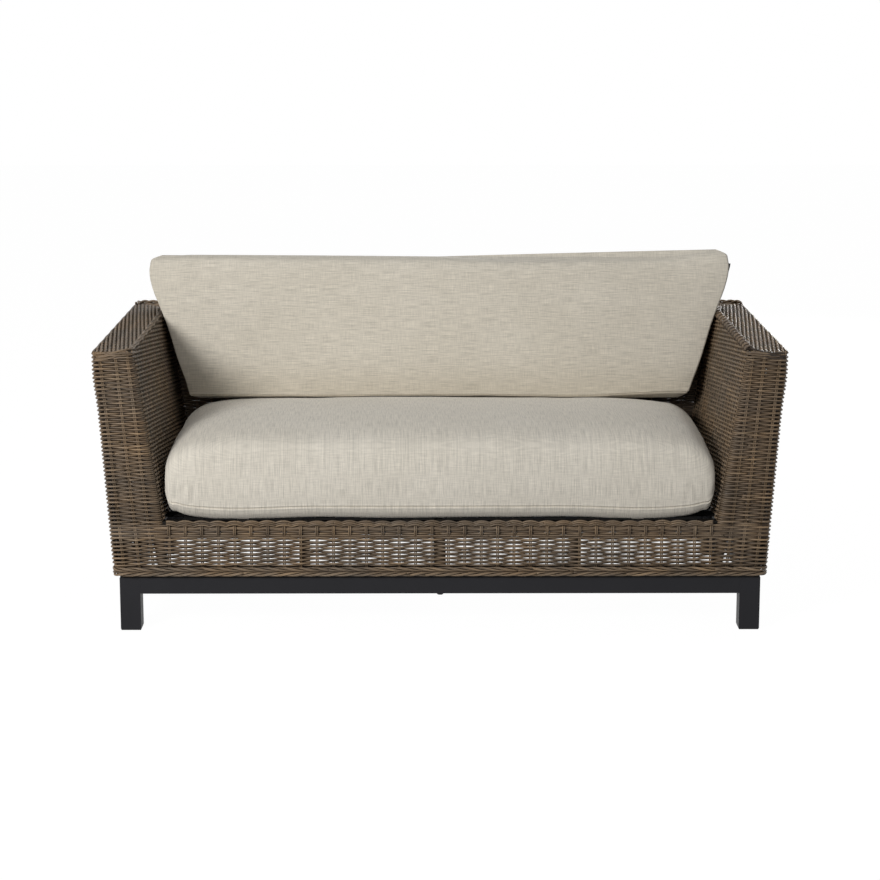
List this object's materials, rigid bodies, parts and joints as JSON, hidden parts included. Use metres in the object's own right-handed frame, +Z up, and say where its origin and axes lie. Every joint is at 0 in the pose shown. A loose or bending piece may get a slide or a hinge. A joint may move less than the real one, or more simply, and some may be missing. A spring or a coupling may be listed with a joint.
{
  "type": "patio loveseat",
  "caption": "Woven-cane patio loveseat: flared body with arms and back at one height on a black square-tube base, with one long seat cushion and one long lift-off back cushion.",
  "frame": {"origin": "On the floor, in the middle of the sofa's outer width and depth.", "axes": "+X along the sofa's length, toward the viewer's right from the front, +Y to the rear, +Z up. The sitter faces -Y."},
  "size_m": [1.6576, 0.8725, 0.8523],
  "materials": {
    "wicker": "round resin cane, woven over twin uprights, grey-brown with lighter and darker strands",
    "base_metal": "black powder coat, satin, fine orange-peel",
    "frame_aluminium": "mill finish, hidden inside the weave",
    "foot_plastic": "moulded black plugs",
    "bolt_steel": "black zinc",
    "webbing": "dark woven strap",
    "cushion_fabric": "plain woven slub cloth, warm beige",
    "foam": "open-cell foam, hidden in the covers",
    "zip_tape": "sewn tape, beige",
    "zip_metal": "lacquered slider",
    "tab_fabric": "small dark sewn tab"
  },
  "bodies": {
    "frame": {"arm_right_outer_weave": "wicker", "arm_left_outer_weave": "wicker", "arm_right_front_weave": "wicker", "arm_left_front_weave": "wicker", "arm_right_inner_weave": "wicker", "arm_left_inner_weave": "wicker", "arm_right_top_weave": "wicker", "arm_left_top_weave": "wicker", "back_outer_weave": "wicker", "back_inner_weave": "wicker", "back_top_weave": "wicker", "front_apron_weave": "wicker", "border_front": "wicker", "border_rear": "wicker", "border_sides": "wicker", "seat_edge_border": "wicker", "arm_edge_cords": "wicker", "back_edge_cord": "wicker", "rear_edge_cord": "wicker", "arm_front_wraps": "wicker", "leg_front_right": "base_metal", "leg_front_left": "base_metal", "leg_rear_right": "base_metal", "leg_rear_left": "base_metal", "base_rail_front": "base_metal", "base_rail_rear": "base_metal", "base_rail_right": "base_metal", "base_rail_left": "base_metal", "base_cross_tube": "base_metal", "bottom_rail_front": "frame_aluminium", "bottom_rail_rear": "frame_aluminium", "bottom_rail_sides": "frame_aluminium", "seat_rail_front": "frame_aluminium", "seat_rail_rear": "frame_aluminium", "seat_rail_sides": "frame_aluminium", "seat_struts": "frame_aluminium", "outer_corner_posts": "frame_aluminium", "outer_mid_posts": "frame_aluminium", "inner_corner_posts": "frame_aluminium", "inner_mid_posts": "frame_aluminium", "outer_top_rail_back": "frame_aluminium", "outer_top_rail_sides": "frame_aluminium", "inner_top_rail_back": "frame_aluminium", "inner_top_rail_sides": "frame_aluminium", "top_ties": "frame_aluminium", "leg_feet": "foot_plastic", "base_bolts": "bolt_steel", "thread_inserts": "bolt_steel", "webbing_across": "webbing", "webbing_lengthwise": "webbing"},
    "seat_cushion": {"seat_cushion_cover": "cushion_fabric", "seat_cushion_foam": "foam", "seat_zip_tape": "zip_tape"},
    "back_cushion": {"back_cushion_cover": "cushion_fabric", "back_cushion_foam": "foam", "back_zip_tape": "zip_tape", "back_cushion_tab": "tab_fabric"},
    "seat_zip": {"seat_zip_slider": "zip_metal"},
    "back_zip": {"back_zip_slider": "zip_metal"}
  },
  "joints": [
    {"name": "seat_cushion_slide", "type": "slide", "parent": "frame", "child": "seat_cushion", "axis": [0, -1, 0], "range_m": [0, 0.7]},
    {"name": "back_cushion_lift", "type": "slide", "parent": "frame", "child": "back_cushion", "axis": [0, 0, 1], "range_m": [0, 0.3]},
    {"name": "seat_zip_slide", "type": "slide", "parent": "seat_cushion", "child": "seat_zip", "axis": [-1, 0, 0], "range_m": [0, 1]},
    {"name": "back_zip_slide", "type": "slide", "parent": "back_cushion", "child": "back_zip", "axis": [-1, 0, 0], "range_m": [0, 0.92]}
  ]
}
